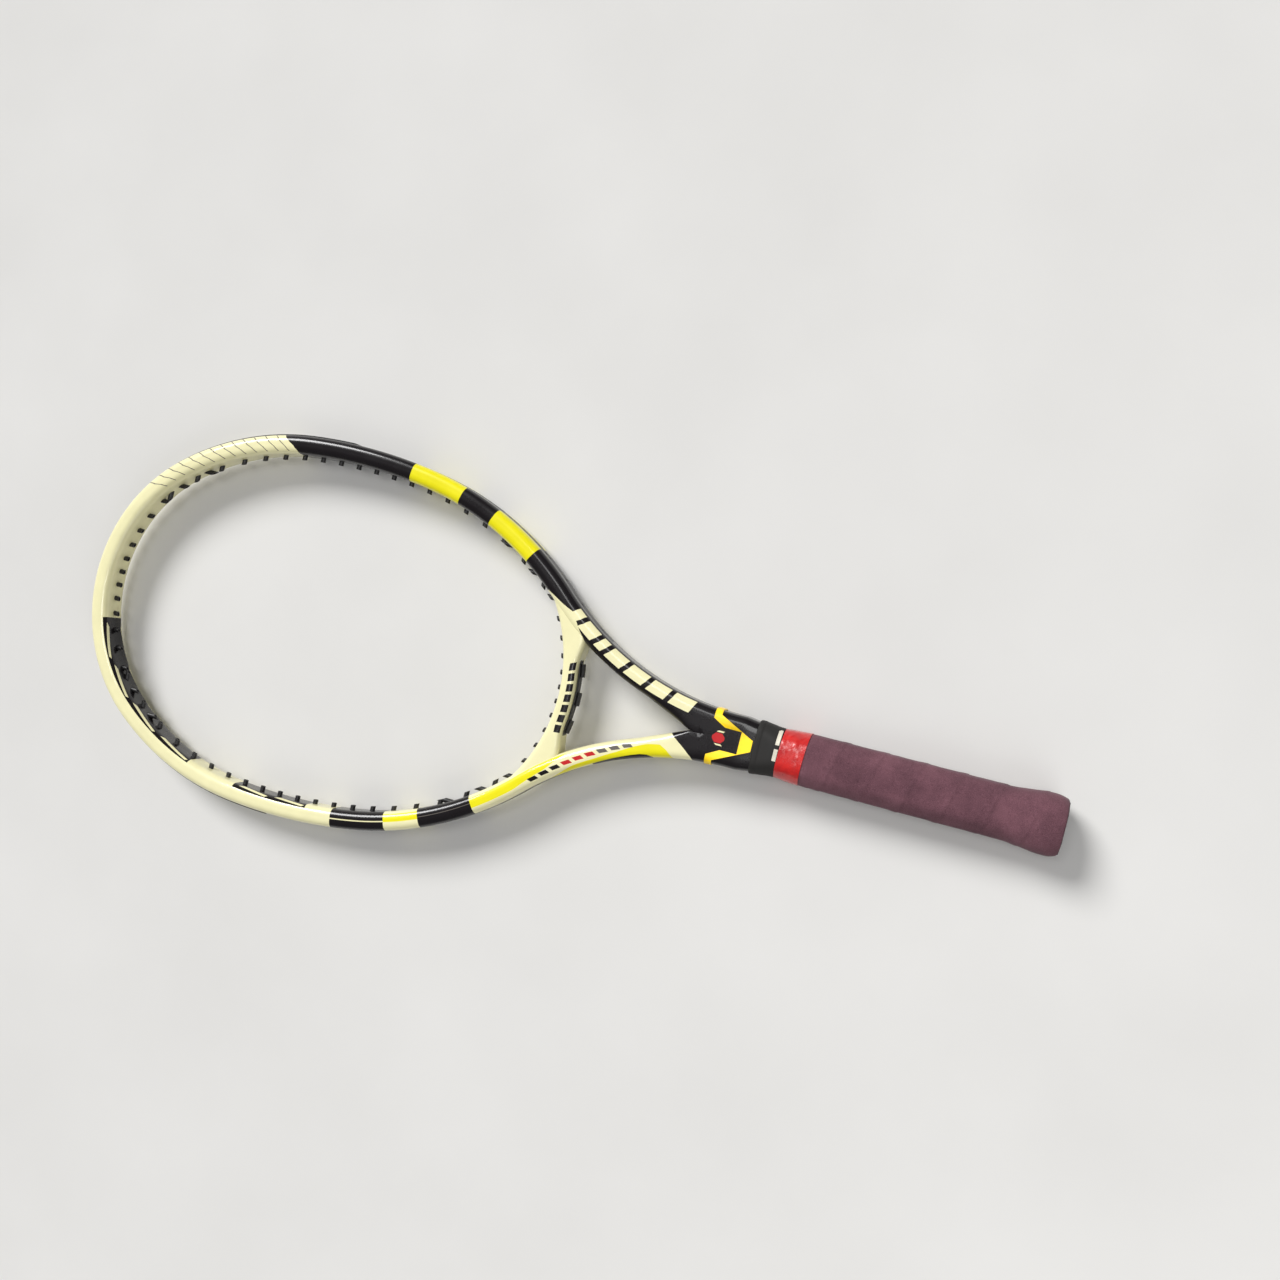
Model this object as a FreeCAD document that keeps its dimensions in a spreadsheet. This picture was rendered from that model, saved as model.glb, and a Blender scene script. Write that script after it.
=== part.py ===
"""A tennis racket: hollow carbon hairpin frame, bonded throat bridge, grommets and a built-up handle.

Every sub-part is drawn with X measured from the butt end towards the tip, Y across the string bed
and Z out of it, in millimetres. A common Placement then puts the whole racket flat on Z = 0 with the
origin under the middle of its bounding box.
"""
import FreeCAD, Part
import math
import os
import Sketcher

Vector = FreeCAD.Vector
Rotation = FreeCAD.Rotation
Z_AXIS = Vector(0, 0, 1)
ORIGIN = Vector(0, 0, 0)

DIMENSIONS = {
    # overall
    "racket_length": 685,
    "bumper_proud": 0.9,
    # outer outline of the frame, tip to throat: radius and turn of each tangent arc
    "tip_radius": 118,
    "tip_turn": 52.9,
    "shoulder_radius": 179,
    "shoulder_turn": 31.8,
    "side_radius": 351,
    "side_turn": 15.8,
    "lower_radius": 220,
    "lower_turn": 33,
    "throat_radius": 186,
    # hollow frame tube
    "tube_width": 13,
    "tube_depth": 23,
    "tube_wall": 1.6,
    "tube_corner": 5,
    "groove_depth": 1.6,
    "groove_width": 7,
    # the two shafts inside the handle
    "shaft_taper_top": 204,
    "shaft_taper_foot": 172,
    "shaft_end": 12,
    "shaft_outer": 12.6,
    "shaft_width": 12.2,
    "shaft_depth": 17,
    # web that joins the shafts, and the notch at the foot of the throat
    "web_top": 300,
    "web_depth": 20,
    "shaft_web_depth": 15,
    "web_knee": 277,
    "web_knee_half": 24,
    "web_blend": 16,
    "notch_apex": 238.4,
    "notch_slope": 0.42,
    # throat bridge
    "bridge_face": 330,
    "bridge_radius": 108,
    "bridge_thickness": 10,
    "bridge_depth": 20,
    "bridge_corner": 3.5,
    "bridge_strip_thickness": 1.3,
    "bridge_strip_width": 8,
    "bridge_strip_reach": 39.5,
    "bridge_pad_height": 2.2,
    "bridge_pad_length": 9,
    "bridge_pad_width": 5,
    "bridge_pad_turn": 9.2,
    # string pattern
    "main_first": 4.8,
    "main_pitch": 9.6,
    "main_growth": 0.35,
    "cross_middle": 503,
    "cross_reach": 143,
    "cross_spread": 0.1,
    "barrel_radius": 1.7,
    "barrel_clearance": 0.05,
    "string_bore_radius": 0.95,
    "barrel_proud": 3,
    "strip_play": 0.1,
    "strip_gap": 0.3,
    "bumper_end": 514,
    "bumper_width": 11,
    "strip_end": 304,
    # handle: half sizes of the finished grip
    "grip_half_width": 17.2,
    "grip_half_height": 15.5,
    "flare_half_width": 19.8,
    "flare_half_height": 18.1,
    "butt_half_width": 18.6,
    "butt_half_height": 17,
    "top_half_width": 15.4,
    "top_half_height": 13.9,
    "flare_length": 34,
    "grip_taper_start": 160,
    "grip_top": 180,
    "overgrip_thickness": 0.6,
    "base_grip_thickness": 1.6,
    "cap_wall": 1.9,
    "cap_floor": 2.4,
    "pallet_top": 168,
    "overgrip_top": 166,
    "tape_start": 162,
    "tape_top": 179,
    "tape_thickness": 0.25,
    "collar_top": 196,
    "collar_wall": 1.4,
    # damper band: a blunt V whose arms turn square to the shafts before they wrap round the sides
    "band_apex": 196.8,
    "band_apex_inside": 206.3,
    "band_apex_half": 3.6,
    "band_apex_half_inside": 1.9,
    "band_arm_low": 220,
    "band_arm_high": 224.5,
    "band_knee": 15,
    "band_knee_inside": 12,
    "band_thickness": 0.7,
    # butt cap door
    "door_width": 18,
    "door_height": 15,
    "door_corner": 3,
    "door_plate": 2,
    "door_gap": 0.3,
    "door_tab_length": 5,
    "door_tab_width": 8,
    "door_tab_thickness": 1.4,
    # small fixings and plugs
    "staple_wire": 0.6,
    "staple_span": 10,
    "staple_leg": 5,
    "staple_low": 18,
    "staple_high": 23,
    "tack_place": 10,
    "tack_head_radius": 2.4,
    "tack_head_height": 0.4,
    "tack_pin_radius": 0.5,
    "tack_pin_length": 3.2,
    "plug_length": 8,
    "plug_clearance": 0.1,
}

doc = FreeCAD.newDocument("tennis_racket")
sheet = doc.addObject("Spreadsheet::Sheet", "dims")
for row, (alias, value) in enumerate(DIMENSIONS.items(), start=1):
    sheet.set(f"A{row}", alias)
    sheet.set(f"B{row}", str(value))
    sheet.setAlias(f"B{row}", alias)
doc.recompute()


def dim(alias):
    """The value that the sheet holds for an alias."""
    return float(sheet.get(alias))


HALF_LENGTH = dim("racket_length") / 2
REST_HEIGHT = dim("flare_half_height")
PLACE = FreeCAD.Placement(Vector(-HALF_LENGTH, 0, REST_HEIGHT), Rotation())

subparts = []


def place(item, label):
    """Names a finished sub-part, puts it in the racket's frame and lists it for export."""
    item.Label = label
    item.Placement = PLACE
    subparts.append(item)
    return item


def feature(label, shape):
    """A sub-part whose shape follows the frame's curved outline, made with Part's functions."""
    item = doc.addObject("Part::Feature", label)
    item.Shape = shape
    return place(item, label)


# ---------------------------------------------------------------- the frame's outline

def outline_arcs():
    """The tangent arcs of the outer outline, from the tip round to the start of the shaft."""
    convex = ["tip", "shoulder", "side", "lower"]
    turns = [(dim(f"{name}_radius"), dim(f"{name}_turn")) for name in convex]
    overshoot = sum(turn for _, turn in turns) - 90
    turns.append((dim("throat_radius"), -overshoot))
    point = Vector(dim("racket_length") - dim("bumper_proud"), 0, 0)
    heading = 90.0
    arcs = []
    for radius, turn in turns:
        side = math.copysign(90, turn)
        to_centre = Vector(math.cos(math.radians(heading + side)), math.sin(math.radians(heading + side)), 0)
        centre = point + to_centre * radius
        arcs.append({"start": point, "centre": centre, "turn": turn, "heading": heading})
        point = centre + Rotation(Z_AXIS, turn).multVec(point - centre)
        heading += turn
    return arcs, point


ARCS, SHAFT_START = outline_arcs()


def along_outline(section):
    """Sweeps a section, drawn in the XZ plane with X = 0 on the outer surface, round the frame."""
    pieces = []
    for arc in ARCS:
        face = section.copy()
        face.Placement = FreeCAD.Placement(arc["start"], Rotation(Z_AXIS, arc["heading"] - 90))
        pieces.append(face.revolve(arc["centre"], Z_AXIS, arc["turn"]))
    face = section.copy()
    face.Placement = FreeCAD.Placement(SHAFT_START, Rotation(Z_AXIS, 90))
    pieces.append(face.extrude(Vector(dim("shaft_taper_top") - SHAFT_START.x, 0, 0)))
    half = fuse(pieces)
    return fuse([half, mirrored(half)])


# ---------------------------------------------------------------- shape helpers

def fuse(shapes):
    return shapes[0].multiFuse(shapes[1:]).removeSplitter()


def mirrored(shape):
    """The same shape on the other side of the racket's middle plane."""
    return shape.mirror(ORIGIN, Vector(0, 1, 0))


def single_solid(shape):
    """The largest solid of a boolean's result."""
    return max(shape.Solids, key=lambda solid: solid.Volume)


def box(x_range, y_range, z_range):
    size = [high - low for low, high in (x_range, y_range, z_range)]
    return Part.makeBox(*size, Vector(x_range[0], y_range[0], z_range[0]))


def rounded_wire(low, high, half_depth, radius, at=ORIGIN, turn=0.0):
    """A rounded rectangle in the XZ plane, from X = low to high, then turned about Z and moved."""
    centres = [(high - radius, half_depth - radius), (low + radius, half_depth - radius),
               (low + radius, radius - half_depth), (high - radius, radius - half_depth)]
    edges = []
    corner_ends = []
    for quarter, (x, z) in enumerate(centres):
        points = []
        for step in range(3):
            angle = math.radians(90 * quarter + 45 * step)
            points.append(Vector(x + radius * math.cos(angle), 0, z + radius * math.sin(angle)))
        corner_ends.append((points[0], points[2]))
        edges.append(Part.Arc(*points).toShape())
    for quarter in range(4):
        line_start = corner_ends[quarter][1]
        line_end = corner_ends[(quarter + 1) % 4][0]
        edges.insert(2 * quarter + 1, Part.makeLine(line_start, line_end))
    wire = Part.Wire(edges)
    wire.Placement = FreeCAD.Placement(at, Rotation(Z_AXIS, turn))
    return wire


def tube_wire(inset=0.0):
    """The frame tube's section, drawn inwards from the outer surface, shrunk by an inset."""
    return rounded_wire(inset - dim("tube_width"), -inset, dim("tube_depth") / 2 - inset,
                        dim("tube_corner") - inset)


def shaft_wires(inset=0.0):
    """The shaft's section where it leaves the throat and where it has narrowed to fit the handle."""
    top = rounded_wire(inset - dim("tube_width"), -inset, dim("tube_depth") / 2 - inset,
                       dim("tube_corner") - inset,
                       Vector(dim("shaft_taper_top"), SHAFT_START.y, 0), 90)
    foot = rounded_wire(inset - dim("shaft_width"), -inset, dim("shaft_depth") / 2 - inset,
                        dim("tube_corner") - inset,
                        Vector(dim("shaft_taper_foot"), dim("shaft_outer"), 0), 90)
    return top, foot


def shaft(inset=0.0):
    """One solid shaft, from the throat to the butt, shrunk by an inset."""
    top, foot = shaft_wires(inset)
    taper = Part.makeLoft([top, foot], True, True)
    straight = Part.Face(foot).extrude(Vector(dim("shaft_end") - dim("shaft_taper_foot"), 0, 0))
    return fuse([taper, straight])


def prism(points, half_depth):
    """A flat outline extruded to both sides of the racket's middle plane."""
    corners = [Vector(x, y, -half_depth) for x, y in points]
    face = Part.Face(Part.makePolygon(corners + corners[:1]))
    return face.extrude(Vector(0, 0, 2 * half_depth))


def throat_web():
    """The moulded web between the legs and shafts, with the notch at the foot of the throat."""
    top = dim("web_top")
    notch = (top - dim("notch_apex")) * dim("notch_slope")
    tube_middle = dim("tube_width") / 2
    neck = SHAFT_START.y - tube_middle
    handle_half = dim("shaft_outer") - dim("shaft_width") / 2
    side = [(dim("shaft_taper_top"), neck), (SHAFT_START.x + dim("web_blend"), neck),
            (dim("web_knee"), dim("web_knee_half")), (top, notch + tube_middle),
            (top, notch), (dim("notch_apex"), 0)]
    throat = prism(side + [(x, -y) for x, y in reversed(side[:-1])], dim("web_depth") / 2)
    handle = box((dim("shaft_end"), dim("shaft_taper_top")), (-handle_half, handle_half),
                 (-dim("shaft_web_depth") / 2, dim("shaft_web_depth") / 2))
    return fuse([throat, handle])


# ---------------------------------------------------------------- string pattern

def main_offsets():
    """Distance of each main string from the middle of the racket, on one side."""
    return [dim("main_first") + dim("main_pitch") * k + dim("main_growth") * k * k for k in range(8)]


def cross_positions():
    """Place of each cross string along the racket, closer together in the middle of the head."""
    positions = []
    for k in range(20):
        u = k / 9.5 - 1
        shaped = u * (1 - dim("cross_spread")) + dim("cross_spread") * u ** 3
        positions.append(dim("cross_middle") + dim("cross_reach") * shaped)
    return positions


BRIDGE_MAINS = main_offsets()[:4]
LEG_MAINS = main_offsets()[4:]
LOWER_CROSSES = [x for x in cross_positions() if x < dim("bumper_end")]
UPPER_CROSSES = [x for x in cross_positions() if x > dim("bumper_end")]
HEAD_MIDDLE = dim("cross_middle")
# How far the rods that cut the string holes reach from the middle of the head: past the outer
# edge of the frame, or for the bridge, past its strip but short of the throat's notch.
MAIN_ROD = 202
BRIDGE_ROD = 187
CROSS_ROD = 150


def rod(start, direction, length, radius):
    return Part.makeCylinder(radius, length, start, direction)


def main_rods(offsets, direction, length, radius):
    """Rods along the main strings on one side, from the middle of the head towards tip or butt."""
    return [rod(Vector(HEAD_MIDDLE, y, 0), Vector(direction, 0, 0), length, radius) for y in offsets]


def cross_rods(positions, radius):
    """Rods along the cross strings, from the middle line out past one side of the head."""
    return [rod(Vector(x, 0, 0), Vector(0, 1, 0), CROSS_ROD, radius) for x in positions]


def tip_rods(radius):
    one_side = main_rods(main_offsets(), 1, MAIN_ROD, radius) + cross_rods(UPPER_CROSSES, radius)
    return one_side + [mirrored(item) for item in one_side]


def side_rods(radius):
    return main_rods(LEG_MAINS, -1, MAIN_ROD, radius) + cross_rods(LOWER_CROSSES, radius)


def bridge_rods(radius):
    one_side = main_rods(BRIDGE_MAINS, -1, BRIDGE_ROD, radius)
    return one_side + [mirrored(item) for item in one_side]


HOLE_RADIUS = dim("barrel_radius") + dim("barrel_clearance")
BORE_RADIUS = dim("string_bore_radius")

# ---------------------------------------------------------------- frame and bridge

one_shaft = shaft()
frame_envelope = fuse([along_outline(Part.Face(tube_wire())), one_shaft, mirrored(one_shaft), throat_web()])
one_hollow = shaft(dim("tube_wall"))
hollow = fuse([along_outline(Part.Face(tube_wire(dim("tube_wall")))), one_hollow, mirrored(one_hollow)])

# Ranges that reach past the frame on every side, for the blocks that cut it up.
BEYOND_TIP = dim("racket_length") + 5
BEYOND_SIDES = (-140, 140)
BEYOND_FACES = (-15, 15)

head_region = box((dim("strip_end"), BEYOND_TIP), BEYOND_SIDES, BEYOND_FACES)


def strip_face(low, high, width):
    """A flat strip's section, from X = low to high and width wide, centred on the middle plane."""
    corners = [Vector(low, 0, -width / 2), Vector(high, 0, -width / 2),
               Vector(high, 0, width / 2), Vector(low, 0, width / 2)]
    return Part.Face(Part.makePolygon(corners + corners[:1]))


groove = along_outline(strip_face(-dim("groove_depth"), 3, dim("groove_width"))).common(head_region)
side_holes = side_rods(HOLE_RADIUS)
both_side_holes = side_holes + [mirrored(item) for item in side_holes]
frame_cutters = [hollow, groove] + tip_rods(HOLE_RADIUS) + both_side_holes
feature("frame_hairpin", single_solid(frame_envelope.cut(frame_cutters)))


def bridge_band(inner, outer, depth, corner, reach=75):
    """A band that curves round the foot of the string bed, between two distances from its centre."""
    centre = Vector(dim("bridge_face") + dim("bridge_radius"), 0, 0)
    turn = math.degrees(math.asin(reach / outer))
    wire = rounded_wire(-outer, -inner, depth / 2, corner, centre, 0)
    face = Part.Face(wire)
    face.rotate(centre, Z_AXIS, -turn)
    return face.revolve(centre, Z_AXIS, 2 * turn)


bridge_inner = dim("bridge_radius")
bridge_outer = bridge_inner + dim("bridge_thickness")
bridge = bridge_band(bridge_inner, bridge_outer, dim("bridge_depth"), dim("bridge_corner"))
feature("throat_bridge",
        single_solid(bridge.cut([frame_envelope] + bridge_rods(HOLE_RADIUS) + both_side_holes)))

# ---------------------------------------------------------------- grommets and bumper

barrel_root = dim("strip_play") - 0.6 * dim("groove_depth")
barrel_band = along_outline(strip_face(-dim("tube_width") - dim("barrel_proud"), barrel_root, 5))
bridge_barrel_band = bridge_band(bridge_inner - dim("barrel_proud"), bridge_outer, 6, 0.5)
groove_strip = along_outline(
    strip_face(dim("strip_play") - dim("groove_depth"), 0, dim("groove_width") - 2 * dim("strip_play")))


def barrels(rods, region):
    """The grommet barrels: rods cut off to a region that follows the frame."""
    pieces = []
    for item in rods:
        pieces += item.common(region).Solids
    return pieces


def grommet_strip(rods, bores, strip, region):
    """A moulded strip with a barrel for each string, bored through."""
    whole = fuse([strip] + barrels(rods, region))
    return single_solid(whole.cut(bores))


guard_band = along_outline(strip_face(0, dim("bumper_proud"), dim("bumper_width")))
head_cap = box((dim("bumper_end") + dim("strip_gap"), BEYOND_TIP), BEYOND_SIDES, BEYOND_FACES)
bumper_strip = fuse([groove_strip, guard_band]).common(head_cap)
feature("head_bumper_guard",
        grommet_strip(tip_rods(dim("barrel_radius")), tip_rods(BORE_RADIUS), bumper_strip, barrel_band))

side_region = box((dim("strip_end") + dim("strip_gap"), dim("bumper_end") - dim("strip_gap")),
                  (0, BEYOND_SIDES[1]), BEYOND_FACES)
side_strip = single_solid(groove_strip.common(side_region))
leg_region = fuse([barrel_band, bridge_barrel_band])
strip_left = grommet_strip(side_rods(dim("barrel_radius")), side_rods(BORE_RADIUS), side_strip, leg_region)
feature("grommet_strip_left", strip_left)
feature("grommet_strip_right", mirrored(strip_left))

strip_back = bridge_outer + dim("bridge_strip_thickness")
bridge_strip = bridge_band(bridge_outer, strip_back, dim("bridge_strip_width"), 0.6,
                           dim("bridge_strip_reach"))
feature("bridge_grommet_strip",
        grommet_strip(bridge_rods(dim("barrel_radius")), bridge_rods(BORE_RADIUS), bridge_strip,
                      bridge_barrel_band))

# ---------------------------------------------------------------- damper band

def band_outline():
    """The V seen from above: from the blunt apex out to both sides and back along the inside."""
    wide = 26
    side = [(dim("band_apex"), dim("band_apex_half")), (dim("band_arm_low"), dim("band_knee")),
            (dim("band_arm_low"), wide), (dim("band_arm_high"), wide),
            (dim("band_arm_high"), dim("band_knee_inside")),
            (dim("band_apex_inside"), dim("band_apex_half_inside"))]
    return side + [(x, -y) for x, y in reversed(side)]


def damper_band():
    """The V of elastomer that wraps round both faces and the sides of the shafts."""
    thickness = dim("band_thickness")
    swollen_wire = rounded_wire(-dim("tube_width"), thickness, dim("tube_depth") / 2 + thickness,
                                dim("tube_corner") + thickness)
    swollen_face = dim("tube_depth") / 2 + thickness
    apex_block = box((dim("band_apex"), dim("shaft_taper_top") + 1), (-10, 10),
                     (-swollen_face, swollen_face))
    skin = fuse([along_outline(Part.Face(swollen_wire)), apex_block]).common(prism(band_outline(), 20))
    return single_solid(skin.cut(frame_envelope))


feature("damper_band", damper_band())

# ---------------------------------------------------------------- handle: layers of the grip

def grip_stations():
    """Half width and half height of the finished grip at places along the handle."""
    flare = dim("flare_length")
    return [(0, dim("butt_half_width"), dim("butt_half_height")),
            (6, dim("flare_half_width"), dim("flare_half_height")),
            (flare / 2, dim("flare_half_width") - 0.6, dim("flare_half_height") - 0.6),
            (flare, dim("grip_half_width"), dim("grip_half_height")),
            (dim("grip_taper_start"), dim("grip_half_width"), dim("grip_half_height")),
            (dim("grip_top"), dim("top_half_width"), dim("top_half_height"))]


def octagon_wire(x, half_width, half_height):
    """The grip's eight-sided section: wide flats top and bottom, bevels of a quarter of the width."""
    bevel = half_width * 0.48
    quarter = [(half_width, half_height - bevel), (half_width - bevel, half_height)]
    upper = quarter + [(-y, z) for y, z in reversed(quarter)]
    points = upper + [(-y, -z) for y, z in upper]
    corners = [Vector(x, y, z) for y, z in points]
    return Part.makePolygon(corners + corners[:1])


def grip_solid(inset, low, high):
    """The handle's flared eight-sided shape from X = low to high, shrunk by an inset."""
    wires = [octagon_wire(x, half_width - inset, half_height - inset)
             for x, half_width, half_height in grip_stations()]
    whole = Part.makeLoft(wires, True, True)
    return whole.common(box((low, high), (-40, 40), (-40, 40)))


def sleeve(outer_inset, inner_inset, low, high):
    """One wrapped layer of the grip."""
    return grip_solid(outer_inset, low, high).cut(grip_solid(inner_inset, low, high))


overgrip_inset = dim("overgrip_thickness")
pallet_inset = overgrip_inset + dim("base_grip_thickness")
cap_inner_inset = pallet_inset + dim("cap_wall")
flare_length = dim("flare_length")

feature("overgrip", single_solid(sleeve(0, overgrip_inset, 0.4, dim("overgrip_top"))))
base_tape_start = dim("overgrip_top") + 0.4
base_tape_inset = overgrip_inset - 0.2
base_tape = sleeve(base_tape_inset, overgrip_inset, base_tape_start, dim("tape_top"))
feature("base_grip_tape", single_solid(base_tape))
red_tape = grip_solid(-dim("tape_thickness"), dim("tape_start"), dim("tape_top"))
red_tape = red_tape.cut([grip_solid(0, 0, dim("overgrip_top")),
                         grip_solid(base_tape_inset, dim("tape_start"), dim("grip_top"))])
feature("overgrip_finishing_tape", single_solid(red_tape))

# ---------------------------------------------------------------- handle: pallet and butt cap

def primitive(kind, name, position, **sizes):
    """A Part primitive with its sizes bound to the sheet, placed in the racket's own X, Y and Z."""
    item = doc.addObject(kind, name)
    for size, expression in sizes.items():
        item.setExpression(size, expression)
    item.Placement = FreeCAD.Placement(position, Rotation())
    return item


def joined(kind, name, items):
    """A boolean or compound of document objects."""
    result = doc.addObject(kind, name)
    if kind == "Part::Compound":
        result.Links = items
    else:
        result.Shapes = items
    doc.recompute()
    return result


cap_face = dim("grip_half_height") + 0.6 - pallet_inset


def staple(number, x, side):
    """One wire staple through the butt cap into the pallet."""
    wire = dim("staple_wire")
    half_span = dim("staple_span") / 2
    top = side * cap_face
    leg_foot = top - side * dim("staple_leg") if side > 0 else top
    crown = primitive("Part::Box", f"staple_{number}_crown", Vector(x, -half_span, top - wire / 2),
                      Length="dims.staple_wire", Width="dims.staple_span", Height="dims.staple_wire")
    legs = [primitive("Part::Box", f"staple_{number}_leg_{index}", Vector(x, y, leg_foot),
                      Length="dims.staple_wire", Width="dims.staple_wire", Height="dims.staple_leg")
            for index, y in enumerate((-half_span, half_span - wire))]
    return joined("Part::MultiFuse", f"staple_{number}", [crown] + legs)


staple_spots = [(x, side) for x in (dim("staple_low"), dim("staple_high")) for side in (-1, 1)]
staple_items = [staple(number, x, side) for number, (x, side) in enumerate(staple_spots)]
staple_group = joined("Part::Compound", "staple_group", staple_items)
staples = staple_group.Shape.Solids

tack_base = dim("grip_half_height") + 1.1 - pallet_inset
tack_spot = Vector(dim("tack_place"), 0, tack_base)
tack_head = primitive("Part::Cylinder", "tack_head", tack_spot, Radius="dims.tack_head_radius",
                      Height="dims.tack_head_height")
tack_pin = primitive("Part::Cylinder", "tack_pin", tack_spot - Vector(0, 0, dim("tack_pin_length") - 0.1),
                     Radius="dims.tack_pin_radius", Height="dims.tack_pin_length")
tack_item = joined("Part::MultiFuse", "tack", [tack_head, tack_pin])
tack = tack_item.Shape.Solids[0]

base_grip = sleeve(overgrip_inset, pallet_inset, 0.4, dim("grip_top"))
feature("base_grip", single_solid(base_grip.cut([frame_envelope, tack] + staples)))

pallet_core = grip_solid(pallet_inset, flare_length, dim("pallet_top"))
pallet_end = grip_solid(cap_inner_inset, dim("shaft_end"), flare_length)
pallet = fuse([pallet_core, pallet_end]).cut([frame_envelope, tack] + staples)
split = 0.05
for label, z_range in (("handle_foam_front", (split, 40)), ("handle_foam_rear", (-40, -split))):
    feature(label, single_solid(pallet.common(box((0, 200), (-40, 40), z_range))))

door_gap = dim("door_gap")
opening = rounded_wire(-dim("door_width") / 2 - door_gap, dim("door_width") / 2 + door_gap,
                       dim("door_height") / 2 + door_gap, dim("door_corner"), ORIGIN, 90)
doorway = Part.Face(opening).extrude(Vector(dim("cap_floor") + 1, 0, 0))
doorway.translate(Vector(-0.5, 0, 0))
cap_cavity = grip_solid(cap_inner_inset, dim("cap_floor"), flare_length)
butt_cap = grip_solid(pallet_inset, 0, flare_length).cut([cap_cavity, doorway, tack] + staples)
feature("butt_cap", single_solid(butt_cap))


def bound_rectangle(body, name, width, height, offset):
    """A centred rectangle sketch on the body's YZ plane, its sizes and offset bound to the sheet."""
    sketch = body.newObject("Sketcher::SketchObject", name)
    plane = next(item for item in body.Origin.OriginFeatures if item.Role == "YZ_Plane")
    sketch.AttachmentSupport = [(plane, "")]
    sketch.MapMode = "FlatFace"
    sketch.setExpression("AttachmentOffset.Base.z", offset)
    corners = [Vector(-5, -5, 0), Vector(5, -5, 0), Vector(5, 5, 0), Vector(-5, 5, 0)]
    for low, high in zip(corners, corners[1:] + corners[:1]):
        sketch.addGeometry(Part.LineSegment(low, high), False)
    for side in range(4):
        sketch.addConstraint(Sketcher.Constraint("Coincident", side, 2, (side + 1) % 4, 1))
    sketch.addConstraint(Sketcher.Constraint("Horizontal", 0))
    sketch.addConstraint(Sketcher.Constraint("Vertical", 1))
    sketch.addConstraint(Sketcher.Constraint("Horizontal", 2))
    sketch.addConstraint(Sketcher.Constraint("Vertical", 3))
    sketch.addConstraint(Sketcher.Constraint("Symmetric", 0, 1, 2, 1, -1, 1))
    wide = sketch.addConstraint(Sketcher.Constraint("DistanceX", 0, 1, 0, 2, 10))
    high = sketch.addConstraint(Sketcher.Constraint("DistanceY", 1, 1, 1, 2, 10))
    sketch.setExpression(f"Constraints[{wide}]", width)
    sketch.setExpression(f"Constraints[{high}]", height)
    return sketch


def bound_pad(body, name, sketch, length):
    pad = body.newObject("PartDesign::Pad", name)
    pad.Profile = sketch
    pad.setExpression("Length", length)
    doc.recompute()
    return pad


def upright_edges(pad):
    """Edges along X, the four corners of a padded rectangle."""
    names = []
    for number, edge in enumerate(pad.Shape.Edges, start=1):
        direction = edge.Vertexes[-1].Point - edge.Vertexes[0].Point
        if abs(direction.y) < 1e-6 and abs(direction.z) < 1e-6:
            names.append(f"Edge{number}")
    return names


def butt_cap_door():
    """The trap door: a plate in the butt cap's end and two spring tabs that grip its floor."""
    body = doc.addObject("PartDesign::Body", "butt_cap_door")
    plate_sketch = bound_rectangle(body, "plate_outline", "dims.door_width", "dims.door_height", "0")
    plate = bound_pad(body, "plate", plate_sketch, "dims.door_plate")
    rounding = body.newObject("PartDesign::Fillet", "plate_corners")
    rounding.Base = (plate, upright_edges(plate))
    rounding.setExpression("Radius", "dims.door_corner")
    doc.recompute()
    tab_sketch = bound_rectangle(body, "tab_outline", "dims.door_tab_width", "dims.door_height",
                                 "dims.door_plate")
    bound_pad(body, "tab_block", tab_sketch, "dims.door_tab_length")
    gap_sketch = bound_rectangle(body, "tab_gap", "dims.door_tab_width + 2",
                                 "dims.door_height - 2 * dims.door_tab_thickness",
                                 "dims.door_plate + dims.door_tab_length")
    cut = body.newObject("PartDesign::Pocket", "gap_between_tabs")
    cut.Profile = gap_sketch
    cut.setExpression("Length", "dims.door_tab_length")
    before = body.Shape.Volume
    doc.recompute()
    if body.Shape.Volume >= before:
        raise ValueError("the gap between the tabs removed nothing")
    return body


place(butt_cap_door(), "butt_cap_door")


place(staple_group, "butt_cap_staples")
place(tack_item, "grip_start_tack")


def shaft_end_plugs():
    """Two foam plugs, one pushed into the open end of each shaft."""
    clearance = dim("tube_wall") + dim("plug_clearance")
    low = -dim("shaft_outer") + clearance
    high = dim("shaft_width") - dim("shaft_outer") - clearance
    radius = dim("tube_corner") - clearance
    plugs = []
    for turn in (0, 180):
        wire = rounded_wire(low, high, dim("shaft_depth") / 2 - clearance, radius, ORIGIN, 90 + turn)
        plug = Part.Face(wire).extrude(Vector(dim("plug_length"), 0, 0))
        plug.translate(Vector(dim("shaft_end"), 0, 0))
        plugs.append(plug)
    return Part.makeCompound(plugs)


feature("shaft_end_plugs", shaft_end_plugs())


def collar_bead(top, side, face):
    """The thicker ring at the collar's upper edge."""
    swells = [(top - 3.5, -0.3), (top - 2.5, 0.4), (top - 0.8, 0.4), (top, -0.3)]
    return Part.makeLoft([octagon_wire(x, side + swell, face + swell) for x, swell in swells], True, True)


def rubber_collar():
    """The tapered rubber sleeve over the top end of the grip, with a raised bead at its upper edge."""
    top = dim("collar_top")
    start = dim("tape_top") + 0.2
    side = SHAFT_START.y + dim("collar_wall")
    face = dim("tube_depth") / 2 + dim("collar_wall")
    lower = octagon_wire(start, dim("top_half_width") + 0.6, dim("top_half_height") + 0.5)
    upper = octagon_wire(top, side - 0.4, face - 0.6)
    outside = fuse([Part.makeLoft([lower, upper], True, True), collar_bead(top, side, face)])
    return single_solid(outside.cut([frame_envelope, grip_solid(overgrip_inset, 0, dim("grip_top"))]))


feature("rubber_collar", rubber_collar())

# ---------------------------------------------------------------- bridge pads

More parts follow.
